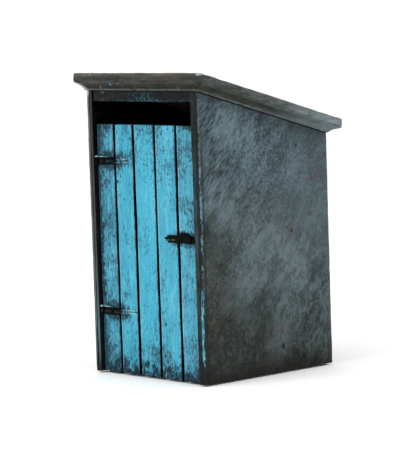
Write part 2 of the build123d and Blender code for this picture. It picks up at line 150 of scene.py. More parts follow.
class Wire:
    # one socket, with the operators that add Math nodes
    def __init__(self, finish, socket):
        self.finish = finish
        self.socket = socket

    def math(self, operation, first, second=0.0):
        made = self.finish.node("ShaderNodeMath", {"operation": operation}, {0: first, 1: second})
        return Wire(self.finish, made.outputs[0])

    def __add__(self, other):
        return self.math("ADD", self, other)

    def __sub__(self, other):
        return self.math("SUBTRACT", self, other)

    def __mul__(self, other):
        return self.math("MULTIPLY", self, other)

    def __truediv__(self, other):
        return self.math("DIVIDE", self, other)

    def __rsub__(self, other):
        return self.math("SUBTRACT", other, self)

    __radd__ = __add__
    __rmul__ = __mul__

    def size(self):
        return self.math("ABSOLUTE", self)

    def least(self, other):
        return self.math("MINIMUM", self, other)

    def most(self, other):
        return self.math("MAXIMUM", self, other)

    def rise(self, low, high):
        # 0 below low, 1 above high, smooth between; it falls when low is the larger
        settings = {"interpolation_type": "SMOOTHSTEP"}
        made = self.finish.node("ShaderNodeMapRange", settings, {0: self, 1: low, 2: high})
        return Wire(self.finish, made.outputs[0])

    def band(self, low, high, soft):
        return self.rise(low - soft, low + soft) * self.rise(high + soft, high - soft)


class Finish:
    # a material while its nodes are being laid out
    def __init__(self, name, shine=0.25):
        self.material = bpy.data.materials.new(name)
        self.material.use_nodes = True
        self.tree = self.material.node_tree
        self.shader = self.tree.nodes["Principled BSDF"]
        self.shader.inputs["Specular IOR Level"].default_value = shine
        coords = self.node("ShaderNodeTexCoord")
        self.place = coords.outputs["Object"]
        parts = self.node("ShaderNodeSeparateXYZ", {}, {0: self.place})
        self.x, self.y, self.z = (Wire(self, parts.outputs[n]) for n in range(3))
        sides = self.node("ShaderNodeSeparateXYZ", {}, {0: coords.outputs["Normal"]})
        self.nx, self.ny, self.nz = (Wire(self, sides.outputs[n]) for n in range(3))

    def node(self, kind, settings=None, values=None):
        made = self.tree.nodes.new(kind)
        for key, value in (settings or {}).items():
            setattr(made, key, value)
        for key, value in (values or {}).items():
            self.feed(made.inputs[key], value)
        return made

    def feed(self, socket, value):
        if isinstance(value, Wire):
            value = value.socket
        if isinstance(value, bpy.types.NodeSocket):
            self.tree.links.new(value, socket)
        else:
            socket.default_value = value

    def noise(self, scale, detail=4.0, rough=0.6, turn=(0, 0, 0), twist=0.0):
        # scale is cycles per metre along each axis, once the axes are turned
        sizes = tuple(1 / n for n in scale)
        laid = {0: self.place, "Scale": sizes, "Rotation": turn}
        laid = self.node("ShaderNodeMapping", {"vector_type": "TEXTURE"}, laid).outputs[0]
        values = {"Vector": laid, "Scale": 1.0, "Detail": detail, "Roughness": rough, "Distortion": twist}
        return Wire(self, self.node("ShaderNodeTexNoise", {}, values).outputs[0])

    def mix(self, share, low, high):
        made = self.node("ShaderNodeMix", {"data_type": "RGBA"}, {0: share, 6: low, 7: high})
        return made.outputs[2]

    def near(self, middle, reach, edge=1.0):
        # 1 in the middle of an ellipsoid, 0 outside it; an edge that varies roughens its outline
        away = 0.0
        for wire, m, r in zip((self.x, self.y, self.z), middle, reach):
            part = (wire - m) / r
            away = part * part + away
        return (away * edge).rise(1.0, 0.2)

    def done(self, colour, roughness, height=None, strength=0.3, distance=0.001, metallic=None):
        self.feed(self.shader.inputs["Base Color"], colour)
        self.feed(self.shader.inputs["Roughness"], roughness)
        if metallic is not None:
            self.feed(self.shader.inputs["Metallic"], metallic)
        if height is not None:
            values = {"Height": height, "Strength": strength, "Distance": distance}
            bump = self.node("ShaderNodeBump", {}, values)
            self.feed(self.shader.inputs["Normal"], bump.outputs[0])
        return self.material


# finishes: a dictionary of paints, where a pair is mixed from its first to its second, and one of
# noises, each with its cycles per metre, detail and roughness, and some with a turn and a twist

bodyPaints = {
    "upper": (paint(44, 57, 60), paint(122, 145, 155)),
    "middle": (paint(66, 77, 80), paint(121, 138, 144)),
    "lower": (paint(44, 50, 49), paint(106, 121, 124)),
    "shade": (paint(25, 26, 21), paint(58, 62, 56)),
    "calm": (paint(80, 96, 102), paint(94, 111, 117)),
    "corner": (paint(30, 40, 41), paint(72, 90, 93)),
    "lowFrontShade": (paint(30, 32, 27), paint(62, 64, 58)),
    "greenish": (paint(46, 62, 52), paint(94, 120, 114)),
    "violet": (paint(58, 62, 74), paint(108, 112, 126)),
    "foot": (paint(16, 16, 13), paint(46, 46, 40)),
    "rust": paint(98, 76, 62),
    "mark": paint(12, 14, 13),
    "stain": paint(74, 52, 40),
    "chip": paint(150, 168, 176),
    "pit": paint(24, 30, 29),
    "eaveShade": paint(38, 44, 43),
    "eaveShadowLine": paint(2, 2, 2),
    "bare": paint(200, 198, 188),
    "rearEdge": paint(124, 134, 132),
    "frontEdgeHighlightAndSmear": (paint(130, 146, 152), paint(104, 164, 188)),
    "seam": paint(24, 32, 32),
    "inside": (paint(14, 16, 17), paint(2, 2, 2)),
}

bodyNoises = {
    "dabs": ((90, 108, 82), 5, 0.6, (-0.6, 0.0, 0.0), 0.6),
    "strokes": ((60, 120, 32), 4, 0.56, (-0.8, 0.0, 0.0), 0.3),
    "streaks": ((62, 62, 42), 5, 0.6, (-0.2, 0.0, 0.0), 0.9),
    "middling": ((24, 30, 18), 4, 0.58, (-0.7, 0, 0), 0.6),
    "broad": ((6, 6, 5), 3, 0.5),
    "hue": ((34, 34, 34), 3, 0.5),
    "rust": ((40, 40, 26), 4, 0.6),
    "chips": ((170, 170, 170), 2, 0.5),
    "flecks": ((90, 90, 50), 3, 0.6),
    "post": ((60, 60, 9), 4, 0.6),
    "drags": ((170, 170, 24), 4, 0.62),
    "ageing": ((24, 24, 60), 4, 0.6),
    "dots": ((210, 210, 210), 2, 0.5),
    "drips": ((190, 190, 60), 3, 0.6),
}

postPaints = {
    "rightHigh": (paint(14, 20, 18), paint(46, 53, 49)),
    "rightMiddle": (paint(26, 34, 34), paint(70, 88, 92)),
    "rightLow": (paint(20, 23, 21), paint(52, 56, 50)),
    "rightOuter": paint(24, 32, 31),
    "rightSmear": (paint(64, 142, 170), paint(138, 210, 228)),
    "leftHigh": (paint(92, 90, 82), paint(120, 116, 106)),
    "leftLow": (paint(84, 96, 98), paint(116, 126, 127)),
    "leftInnerShade": (paint(24, 26, 25), paint(52, 68, 70)),
    "leftSmear": paint(98, 130, 142),
    "leftEdgeShade": paint(22, 28, 30),
    "leftBlue": paint(70, 148, 176),
}

headerPaints = {
    "rail": (paint(4, 7, 6), paint(20, 23, 21)),
    "rust": paint(50, 42, 33),
    "end": paint(70, 66, 56),
    "headerHighlight": paint(120, 116, 108),
    "dots": paint(80, 160, 190),
    "drips": paint(70, 140, 165),
    "lip": paint(78, 96, 98),
}

# spots on the right wall and the front: place and reach, in metres
bodySpots = {
    "rust": (
        ((0.3, 0.091, 0.52), (0.4, 0.07, 0.05)),
        ((0.3, 0.04, 0.155), (0.4, 0.07, 0.045)),
        ((0.3, 0.25, 0.75), (0.4, 0.05, 0.09)),
    ),
    "marks": (
        ((0.3, 0.155, 0.83), (0.4, 0.006, 0.008)),
        ((0.3, 0.12, 0.52), (0.4, 0.006, 0.009)),
    ),
    "damp": ((0.3, 0.062, 0.1), (0.4, 0.011, 0.016)),
    "stain": ((0.3, 0.085, 0.085), (0.4, 0.014, 0.009)),
    "headerHighlight": ((-0.215, -0.33, 1.046), (0.016, 0.2, 0.006)),
    "jambTopHighlight": ((-0.299, -0.33, 1.047), (0.015, 0.2, 0.024)),
}


def belowRoof(f):
    # how far a place lies under the roof's underside, measured straight down
    return (wallTop + slope * wallFront) - slope * f.y - f.z


def brushedSide(f, tone, broad):
    # dark upper and lower coats over one another, with painted shade low down and towards the front, a calm
    # patch, a dark front corner and a patch of painted shade low on the front part
    c = bodyPaints
    y, z = f.y, f.z
    drift = broad - 0.5
    colour = f.mix((z + broad * 0.25).rise(0.95, 0.65), f.mix(tone, *c["upper"]), f.mix(tone, *c["middle"]))
    colour = f.mix((z + broad * 0.3 - y * 0.15).rise(0.52, 0.25), colour, f.mix(tone, *c["lower"]))
    # painted shade: darker low down and towards the front
    colour = f.mix((z + y * 0.85 + broad * 0.4).rise(0.64, 0.22), colour, f.mix(tone, *c["shade"]))
    calm = y.rise(-0.05, 0.2) * z.rise(0.3, 0.6)
    colour = f.mix(calm * 0.5, colour, f.mix(broad, *c["calm"]))
    corner = (y + drift * 0.1).rise(wallFront + 0.1, wallFront + 0.01) * z.rise(0.6, 0.9)
    colour = f.mix(corner * 0.42, colour, f.mix(tone, *c["corner"]))
    # painted shade: a darker patch low on the front part of the wall
    lowFrontShade = (y + drift * 0.16 - z * 0.05).rise(-0.14, -0.29) * (z + drift * 0.3).rise(0.64, 0.5)
    colour = f.mix(lowFrontShade * 0.75, colour, f.mix(tone, *c["lowFrontShade"]))
    hue = f.noise(*bodyNoises["hue"])
    colour = f.mix(hue.rise(0.5, 0.64) * 0.3, colour, f.mix(tone, *c["greenish"]))
    return f.mix(hue.rise(0.48, 0.34) * 0.3, colour, f.mix(tone, *c["violet"]))


def weathered(f, colour, broad, chips):
    # rust-brown patches, dark damp marks with a stain under one, pale chips and dark pits
    c = bodyPaints
    rust = f.noise(*bodyNoises["rust"]).rise(0.46, 0.62)
    patch = broad.rise(0.6, 0.72) * 0.5
    for spot in bodySpots["rust"]:
        patch = f.near(*spot) + patch
    colour = f.mix((rust * patch * 0.45).least(1.0), colour, c["rust"])
    mark = f.near(*bodySpots["damp"], 0.6 + broad)
    for spot in bodySpots["marks"]:
        mark = f.near(*spot) + mark
    colour = f.mix((mark * 0.85).least(1.0), colour, c["mark"])
    stain = f.near(*bodySpots["stain"], 0.6 + broad)
    colour = f.mix(stain * 0.6, colour, c["stain"])
    colour = f.mix(chips.rise(0.66, 0.72) * 0.55, colour, c["chip"])
    return f.mix(chips.rise(0.36, 0.30) * 0.6, colour, c["pit"])


def postFronts(f, colour, front, streaks):
    # the front faces of the posts and wall ends, with smears of the door's blue, and painted shade across
    # the left post, from its light outer edge to a dark inner edge
    c = postPaints
    x, z = f.x, f.z
    tone = f.noise(*bodyNoises["post"]).rise(0.35, 0.68)
    drags = f.noise(*bodyNoises["drags"])
    right = f.mix(z.rise(0.9, 0.6), f.mix(tone, *c["rightHigh"]), f.mix(tone, *c["rightMiddle"]))
    right = f.mix(z.rise(0.42, 0.22), right, f.mix(tone, *c["rightLow"]))
    right = f.mix(x.rise(0.283, 0.286) * 0.75, right, c["rightOuter"])
    smear = x.rise(0.279, 0.291) * (z + tone * 0.05).band(0.07, 0.36, 0.02)
    smear = smear * (drags + x.rise(0.286, 0.292) * 0.07).rise(0.47, 0.55)
    right = f.mix(smear, right, f.mix(streaks.rise(0.45, 0.6), *c["rightSmear"]))
    low = z.rise(0.8, 0.4)
    left = f.mix(low, f.mix(tone, *c["leftHigh"]), f.mix(tone, *c["leftLow"]))
    # painted shade: the left post darkens towards its inner edge
    left = f.mix(x.rise(-0.292, -0.272) * 0.8, left, f.mix(low, *c["leftInnerShade"]))
    smear = x.rise(-0.291, -0.283) * z.rise(0.42, 0.2)
    left = f.mix(smear * (0.35 + tone * 0.65), left, c["leftSmear"])
    # painted shade: a dark strip along the left post's inner edge
    left = f.mix(x.rise(-0.2755, -0.2715), left, c["leftEdgeShade"])
    smear = x.rise(-0.2755, -0.2735) * z.band(0.03, 0.23, 0.02)
    left = f.mix(smear * (0.2 + drags), left, c["leftBlue"])
    colour = f.mix(front * x.rise(0.262, 0.264), colour, right)
    return f.mix(front * x.rise(-0.262, -0.266), colour, left)


def headerFront(f, colour, front, streaks):
    # the header is nearly black, and rusty towards its left end, with blue drips and a painted highlight
    # near its left end
    c = headerPaints
    x, z = f.x, f.z
    foot = headerFoot
    header = front * z.rise(foot - 0.004, foot + 0.001) * x.size().rise(0.275, 0.268)
    ageing = f.noise(*bodyNoises["ageing"]).rise(0.4, 0.62)
    rail = f.mix(ageing, *c["rail"])
    rail = f.mix(x.rise(-0.08, -0.2) * ageing * 0.7, rail, c["rust"])
    rail = f.mix(x.rise(-0.255, -0.27) * 0.5, rail, c["end"])
    # a painted highlight near the header's left end
    headerHighlight = f.near(*bodySpots["headerHighlight"], 0.6 + streaks)
    rail = f.mix(headerHighlight * 0.7, rail, c["headerHighlight"])
    dots = f.noise(*bodyNoises["dots"]).rise(0.62, 0.68)
    rail = f.mix(dots * z.rise(foot + 0.016, foot + 0.004), rail, c["dots"])
    drips = f.noise(*bodyNoises["drips"]).rise(0.54, 0.62)
    drips = drips * x.band(-0.06, 0.06, 0.03) * z.band(foot, foot + 0.05, 0.01)
    rail = f.mix(drips * 0.8, rail, c["drips"])
    lip = z.rise(foot + 0.007, foot + 0.002) * x.band(-0.08, 0.16, 0.05)
    rail = f.mix(lip * (0.2 + ageing * 0.6), rail, c["lip"])
    return f.mix(header, colour, rail)


def bodyFinish():
    f = Finish("weatheredBoardPaint", 0.1)
    c = bodyPaints
    x, y, z = f.x, f.y, f.z
    under = belowRoof(f)
    # dry-brushed dabs over a darker coat, slanting near the door and finer towards the back
    dabs = f.noise(*bodyNoises["dabs"])
    strokes = f.noise(*bodyNoises["strokes"])
    streaks = f.noise(*bodyNoises["streaks"])
    middling = f.noise(*bodyNoises["middling"])
    broad = f.noise(*bodyNoises["broad"])
    chips = f.noise(*bodyNoises["chips"])
    slanted = y.rise(-0.1, -0.22) * z.rise(0.5, 0.7)
    streaky = y.rise(-0.22, 0.15) * z.rise(0.75, 0.3)
    tone = dabs * (1.0 - streaky) + streaks * streaky
    tone = tone * (1.0 - slanted) + strokes * slanted
    tone = (tone * 0.41 + middling * 0.29 + broad * 0.3).rise(0.38, 0.62)
    colour = brushedSide(f, tone, broad)
    colour = weathered(f, colour, broad, chips)
    front = f.ny.rise(-0.35, -0.7)
    colour = postFronts(f, colour, front, streaks)
    colour = headerFront(f, colour, front, streaks)
    # painted shade and a black painted shadow line under the moulding, fainter in front; a pale painted
    # highlight at its left end
    colour = f.mix(under.rise(0.075, mouldDrop) * 0.45, colour, c["eaveShade"])
    fainter = 1.0 - front * (0.2 + streaks * 0.6 + x.rise(-0.17, -0.23) * 0.4)
    eaveShadowLine = under.rise(mouldDrop + 0.0065, mouldDrop + 0.003) * fainter.most(0.0)
    colour = f.mix(eaveShadowLine, colour, c["eaveShadowLine"])
    bare = front * f.near(*bodySpots["jambTopHighlight"], 0.5 + streaks)
    colour = f.mix(bare * 0.9, colour, c["bare"])
    # a pale rear edge, a painted highlight high on the front edge with the door's blue smeared lower down,
    # a dark seam beside the right post, and a dark foot
    rear = f.nx.rise(0.3, 0.7) * y.rise(0.308, 0.316)
    colour = f.mix(rear * 0.6, colour, c["rearEdge"])
    edge = x.rise(0.2965, 0.2985) * y.rise(wallFront + 0.012, wallFront + 0.005) * z.rise(0.2, 0.4)
    flecks = f.noise(*bodyNoises["flecks"]).rise(0.46, 0.58)
    edge = edge * flecks * (0.85 - z.rise(0.7, 0.9) * 0.55)
    colour = f.mix(edge, colour, f.mix(z.rise(0.85, 0.7), *c["frontEdgeHighlightAndSmear"]))
    seam = (y + (streaks - 0.5) * 0.008).band(wallFront + 0.012, wallFront + 0.02, 0.003)
    seam = seam * f.nx.rise(0.5, 0.9) * x.rise(0.28, 0.29) * z.rise(1.0, 0.8)
    colour = f.mix(seam * 0.55, colour, c["seam"])
    foot = (z + broad * 0.08).rise(0.16, 0.05)
    colour = f.mix(foot * 0.9, colour, f.mix(tone, *c["foot"]))
    # faces towards the inside are unpainted and almost black, made blacker high up near the slot as painted
    # shade
    inner = ((f.nx * x) * -1.0).rise(0.05, 0.15).most(f.ny.rise(-0.4, -0.7) * y.rise(0.25, 0.29))
    inner = inner.most(f.ny.rise(0.4, 0.7) * y.rise(-0.27, -0.275))
    colour = f.mix(inner, colour, f.mix(z.rise(0.7, 0.85), *c["inside"]))
    rough = (dabs * 0.35 + 0.5) - foot * 0.1
    return f.done(colour, rough, dabs * 0.6 + chips * 0.4, 0.5, 0.0012)


roofPaints = {
    "frontLow": (paint(36, 40, 36), paint(74, 75, 69)),
    "frontHigh": (paint(74, 70, 62), paint(112, 105, 94)),
    "side": (paint(50, 57, 56), paint(104, 112, 110)),
    "sideBackHighlight": (paint(100, 114, 117), paint(148, 164, 168)),
    "top": (paint(48, 53, 51), paint(92, 98, 95)),
    "cove": (paint(34, 37, 34), paint(80, 82, 76)),
    "coveFrontShade": (paint(12, 16, 13), paint(36, 41, 37)),
    "lip": paint(112, 122, 120),
    "topEdge": paint(128, 116, 100),
    "corner": paint(176, 188, 190),
    "rust": paint(92, 82, 64),
    "dots": paint(96, 160, 178),
    "seamHighlight": (paint(108, 108, 100), paint(132, 144, 146)),
    "chip": paint(150, 154, 150),
    "pit": paint(24, 26, 24),
    "mouldEndHighlight": paint(196, 194, 184),
}

roofNoises = {
    "lengthways": ((9, 60, 60), 4, 0.6),
    "sideways": ((60, 9, 60), 4, 0.6),
    "blotch": ((16, 16, 22), 4, 0.6, (0, 0, 0), 0.5),
    "runs": ((60, 5, 60), 5, 0.6),
    "worn": ((30, 30, 60), 3, 0.6),
    "rust": ((30, 30, 40), 4, 0.6),
    "dots": ((150, 150, 150), 2, 0.5),
    "chips": ((190, 190, 190), 2, 0.5),
}

# the roof's worn right corner: place and reach
roofCorner = ((0.338, -0.35, 1.117), (0.02, 0.03, 0.011))

# where the roof's paint is bare or splashed: place, reach and colour
roofSpots = (
    ((-0.246, -0.358, 1.113), (0.006, 0.02, 0.0035), paint(176, 170, 164)),
    ((-0.276, -0.358, 1.11), (0.008, 0.02, 0.003), paint(140, 130, 118)),
    ((-0.146, -0.35, 1.076), (0.007, 0.03, 0.005), paint(86, 168, 190)),
    ((-0.104, -0.35, 1.077), (0.006, 0.03, 0.004), paint(132, 124, 114)),
    ((-0.21, -0.35, 1.064), (0.004, 0.03, 0.01), paint(120, 118, 112)),
)


def roofFinish():
    f = Finish("weatheredRoofPaint", 0.12)
    c = roofPaints
    x, y = f.x, f.y
    under = belowRoof(f)
    grain = f.noise(*roofNoises["lengthways"]) * f.nx.size().rise(0.7, 0.3)
    grain = grain + f.noise(*roofNoises["sideways"]) * f.nx.size().rise(0.3, 0.7)
    blotch = f.noise(*roofNoises["blotch"])
    tone = (grain * 0.6 + blotch * 0.4).rise(0.34, 0.66)
    # the front, sides and top; the sides get lighter towards the back, a painted highlight
    ahead = f.ny.rise(-0.35, -0.75)
    front = f.mix(under.rise(-0.012, -0.03), f.mix(tone, *c["frontLow"]), f.mix(tone, *c["frontHigh"]))
    side = f.mix(y.rise(-0.1, 0.35), f.mix(tone, *c["side"]), f.mix(tone, *c["sideBackHighlight"]))
    colour = f.mix(ahead, side, front)
    flat = f.nz.rise(0.6, 0.85)
    runs = (f.noise(*roofNoises["runs"]) * 0.6 + blotch * 0.4).rise(0.36, 0.64)
    colour = f.mix(flat, colour, f.mix(runs, *c["top"]))
    # painted shade makes the cove darker, most at the front and low down and least towards the back; the
    # pale, patchy lip along its foot is a painted highlight
    cove = under.rise(-0.001, 0.003)
    facing = y.rise(wallFront - 0.002, wallFront - 0.006)
    coveShade = f.mix(facing * under.rise(0.0, 0.018), f.mix(tone, *c["cove"]), f.mix(tone, *c["coveFrontShade"]))
    colour = f.mix(cove * (1.0 - y.rise(-0.1, 0.25) * 0.85), colour, coveShade)
    lip = under.rise(mouldDrop - 0.0075, mouldDrop - 0.0035)
    worn = f.noise(*roofNoises["worn"]).rise(0.36, 0.55)
    colour = f.mix(lip * (0.25 + worn * 0.65) * (1.0 - facing * 0.8), colour, c["lip"])
    # bare, pale places along the top edge and at the right corner
    top = under.rise(-0.0265, -0.0305)
    colour = f.mix(top * worn * (1.0 - flat) * 0.55, colour, c["topEdge"])
    corner = f.near(*roofCorner, 0.55 + blotch)
    colour = f.mix(corner, colour, c["corner"])
    rust = f.noise(*roofNoises["rust"]).rise(0.54, 0.68)
    colour = f.mix(rust * (0.3 - flat * 0.2), colour, c["rust"])
    dots = f.noise(*roofNoises["dots"]).rise(0.7, 0.74)
    colour = f.mix(dots * ahead, colour, c["dots"])
    # a patchy painted highlight where the slab meets the moulding, paler towards the back
    seamHighlight = under.band(-0.003, 0.004, 0.0025) * (0.25 + worn * 0.6) * f.nz.rise(0.5, 0.3)
    seamHighlight = seamHighlight * (1.0 - facing * x.rise(-0.1, 0.1) * 0.6)
    colour = f.mix(seamHighlight * 0.7, colour, f.mix(y.rise(-0.2, 0.1), *c["seamHighlight"]))
    chips = f.noise(*roofNoises["chips"])
    colour = f.mix(chips.rise(0.67, 0.72) * 0.5, colour, c["chip"])
    colour = f.mix(chips.rise(0.35, 0.3) * 0.5, colour, c["pit"])
    # a painted highlight on the front moulding's left end, along its mitre
    mouldEndHighlight = (x - under * 1.65).rise(-0.312, -0.336) * facing * under.rise(0.0, 0.008)
    colour = f.mix(mouldEndHighlight * (0.3 + blotch), colour, c["mouldEndHighlight"])
    for place, reach, tint in roofSpots:
        colour = f.mix(f.near(place, reach, 0.6 + blotch) * 0.85, colour, tint)
    rough = tone * 0.3 + 0.5
    return f.done(colour, rough, grain * 0.6 + chips * 0.4, 0.45, 0.0012)


doorPaints = {
    "planks": (
        paint(70, 152, 180), paint(72, 178, 208), paint(74, 186, 217), paint(80, 182, 212),
        paint(84, 174, 201),
    ),
    "pale": paint(112, 216, 243),
    "smoky": paint(70, 108, 125),
    "bare": (paint(26, 44, 56), paint(58, 92, 112)),
    "lit": paint(176, 238, 250),
    "drag": paint(26, 46, 58),
    "smear": paint(168, 222, 236),
    "grime": paint(14, 28, 34),
    "ticks": paint(40, 80, 98),
    "arrisHighlight": paint(136, 220, 240),
    "edges": paint(4, 7, 9),
    "back": (paint(22, 22, 21), paint(58, 54, 48)),
}

doorNoises = {
    "grain": ((150, 150, 14), 5, 0.62),
    "fine": ((330, 330, 60), 4, 0.6),
    "speck": ((150, 150, 74), 5, 0.66, (0, 0, 0), 0.5),
    "broad": ((16, 16, 6), 3, 0.55),
    "patch": ((9, 9, 8), 4, 0.6, (0, 0, 0), 0.4),
    "ragged": ((38, 38, 26), 4, 0.62),
    "ticks": ((170, 170, 80), 2, 0.5),
    "specks": ((250, 250, 150), 3, 0.6, (0, 0.4, 0)),
    "nicks": ((240, 240, 55), 3, 0.5, (0, 0.9, 0)),
}

# spots on the door: place and reach, in metres
doorFace = -0.32
doorSpots = {
    "upperKnot": ((-0.158, doorFace, 0.718), (0.006, 0.1, 0.008)),
    "lowerKnot": ((0.082, doorFace, 0.208), (0.005, 0.1, 0.007)),
    "latch": ((0.19, doorFace, latchMiddle), (0.098, 0.1, 0.036)),
    "nicks": ((0.05, doorFace, 0.78), (0.17, 0.1, 0.11)),
    "strapReach": (0.105, 0.1, 0.045),
}

# pale smears round the latch: how far along from its plate, how high, and their half length
latchSmears = (
    (-0.006, 0.004, 0.007),
    (0.002, -0.011, 0.012),
    (0.076, 0.013, 0.01),
    (0.09, -0.011, 0.008),
)


def plankEdges(number):
    # the gap between two planks: the right side of one and the left side of the next
    return plankBoxes[number - 1][1][0], plankBoxes[number][0][0]


def doorGrime(f, ragged):
    # along the foot, the left side and the top corners, and round the ironwork
    x, z = f.x, f.z
    torn = 0.5 - ragged
    loose = 0.45 + ragged
    foot = (z - doorLow[2] + torn * 0.2).rise(0.05, 0.012)
    grime = foot.most((x - doorLow[0] + torn * 0.09).rise(0.03, 0.004) * 0.85)
    head = (doorHigh[2] - z + torn * 0.1).rise(0.03, 0.008)
    grime = grime.most(head * (x.rise(-0.15, -0.22) + x.rise(0.17, 0.22)) * 0.8)
    for low, high in strapBoxes:
        middle = ((low[0] + high[0]) / 2 + 0.01, low[1], (low[2] + high[2]) / 2)
        grime = grime.most(f.near(middle, doorSpots["strapReach"], loose) * 0.8)
    return grime.most(f.near(*doorSpots["latch"], loose) * 0.75)


def ironSmears(f, colour, ragged):
    # paint dragged off the straps' tips, dark under each, and pale smears round the ironwork
    loose = 0.5 + ragged
    smears = 0.0
    for n, (low, high) in enumerate(strapBoxes):
        middle = (low[2] + high[2]) / 2
        reach = 0.018 + 0.012 * n
        for along, lift, thick in ((reach, 0.007, 0.0035), (reach + 0.006, -0.004, 0.003)):
            smears = f.near((high[0] + along, low[1], middle + lift), (reach, 0.1, thick), loose) + smears
        drag = f.near((high[0] + reach * 2.1, low[1], middle + 0.002), (reach * 0.8, 0.1, 0.004), loose)
        colour = f.mix(drag * 0.8, colour, doorPaints["drag"])
    spot = (doorLow[0] + 0.012, doorFace, strapBoxes[1][0][2] + 0.012)
    smears = f.near(spot, (0.01, 0.1, 0.02), loose) + smears
    for along, lift, reach in latchSmears:
        spot = (latchLow[0] + along, doorFace, latchMiddle + lift)
        smears = f.near(spot, (reach, 0.1, 0.003), loose) * 0.8 + smears
    return f.mix((smears * 0.85).least(1.0), colour, doorPaints["smear"])


def doorFinish():
    f = Finish("wornBluePaint", 0.08)
    c = doorPaints
    x, z = f.x, f.z
    grain = f.noise(*doorNoises["grain"])
    fine = f.noise(*doorNoises["fine"])
    speck = f.noise(*doorNoises["speck"])
    broad = f.noise(*doorNoises["broad"])
    patch = f.noise(*doorNoises["patch"])
    ragged = f.noise(*doorNoises["ragged"])
    # each plank has taken the paint a little differently
    base = c["planks"][0]
    for number in range(1, plankCount):
        edge = plankEdges(number)[1] - 0.0035
        base = f.mix(x.rise(edge - 0.001, edge + 0.001), base, c["planks"][number])
    pale = (grain * 0.55 + broad * 0.3 + fine * 0.15).rise(0.44, 0.62)
    colour = f.mix(pale * 0.8, base, c["pale"])
    # the paint has gone thin mostly on the two outer planks, low down and along the gaps
    cover = patch.rise(0.42, 0.68) * 0.42 + x.rise(-0.17, -0.2) * 0.2 + x.rise(0.16, 0.175) * 0.1
    cover = cover + x.rise(-0.21, -0.27) * 0.15 + z.rise(0.2, 0.04) * 0.22
    cover = cover - z.band(0.3, 0.75, 0.1) * x.size().rise(0.15, 0.1) * 0.12
    grime = doorGrime(f, ragged)
    wander = (ragged - 0.5) * 0.016
    gaps = 0.0
    lit = 0.0
    for number in range(1, plankCount):
        start, end = plankEdges(number)
        gaps = (x + wander).band(start - 0.006, end - 0.001, 0.004) + gaps
        lit = (x + wander * 0.2).band(end + 0.0012, end + 0.0052, 0.0012) + lit
    high = (z + (patch - 0.5) * 0.3).rise(0.74, 0.92)
    cover = cover + gaps * 0.5 + grime * 0.75 + high * 0.22
    smoky = (cover + patch * 0.5 - 0.25).rise(0.1, 0.9)
    colour = f.mix(smoky * 0.46, colour, c["smoky"])
    bare = (cover * 0.24 + 0.5 - speck).rise(0.06, 0.2)
    colour = f.mix(bare * 0.82, colour, f.mix(fine.rise(0.4, 0.6), *c["bare"]))
    colour = f.mix(lit * (0.15 + fine) * (1.0 - bare * 0.7), colour, c["lit"])
    colour = ironSmears(f, colour, ragged)
    knots = f.near(*doorSpots["upperKnot"]) + f.near(*doorSpots["lowerKnot"])
    grime = (grime * speck.rise(0.66, 0.42)).most(knots)
    colour = f.mix(grime.least(1.0) * 0.85, colour, c["grime"])
    # short dark ticks and specks scattered over the paint, and slanting nicks high up
    ticks = f.noise(*doorNoises["ticks"]).rise(0.34, 0.26) * 0.45
    upper = (z + (ragged - 0.5) * 0.3).rise(0.5, 0.8)
    specks = f.noise(*doorNoises["specks"]).rise(0.42, 0.31) * (0.25 + upper * 0.45)
    nicks = f.noise(*doorNoises["nicks"]).rise(0.44, 0.34)
    nicks = nicks * f.near(*doorSpots["nicks"], 0.5 + ragged)
    colour = f.mix(ticks.most(specks).most(nicks * 0.75), colour, c["ticks"])
    # pale arrises on the left of each plank, a painted highlight; black sides and right arrises; bare backs
    worn = f.nx.rise(-0.12, -0.4) * f.nx.rise(-0.98, -0.9)
    colour = f.mix(worn * (0.3 + grain * 0.8), colour, c["arrisHighlight"])
    edges = f.nx.rise(0.3, 0.6).most(f.nx.rise(-0.9, -0.97))
    colour = f.mix(edges, colour, c["edges"])
    colour = f.mix(f.ny.rise(0.2, 0.5), colour, f.mix(grain.rise(0.35, 0.65), *c["back"]))
    rough = 0.5 + grain * 0.25 + grime * 0.15
    return f.done(colour, rough, grain * 0.5 + fine * 0.35 - bare * 0.3, 0.5, 0.0012)


innerPaints = {
    "grain": (paint(24, 24, 23), paint(62, 57, 51)),
    "blotch": paint(8, 9, 10),
    "slotShade": paint(6, 6, 6),
}

innerBlotch = ((9, 9, 9), 3, 0.5)


def innerFinish(name, sizes, turn=(0, 0, 0)):
    # sizes are the grain's cycles per metre, fewest along the board
    f = Finish(name, 0.05)
    grain = f.noise(sizes, 5, 0.6, turn).rise(0.35, 0.65)
    blotch = f.noise(*innerBlotch).rise(0.4, 0.65)
    colour = f.mix(grain, *innerPaints["grain"])
    colour = f.mix(blotch * 0.4, colour, innerPaints["blotch"])
    # painted shade: the chute's head, the sill and all near the slot are made black
    colour = f.mix(f.z.rise(0.7, 0.85) * f.y.rise(-0.31, -0.3), colour, innerPaints["slotShade"])
    return f.done(colour, 0.6 + grain * 0.25, grain, 0.4, 0.001)


ironPaints = {
    "iron": (paint(1, 3, 3), paint(12, 18, 18)),
    "strapHighlight": paint(70, 92, 86),
    "strapTip": paint(96, 160, 180),
    "strapRoot": paint(170, 220, 232),
    "latchHighlight": paint(78, 96, 90),
    "smear": paint(56, 98, 110),
}

ironNoises = {
    "cast": ((260, 260, 260), 4, 0.6),
    "blotch": ((60, 60, 90), 4, 0.6, (0, 0, 0), 0.5),
}


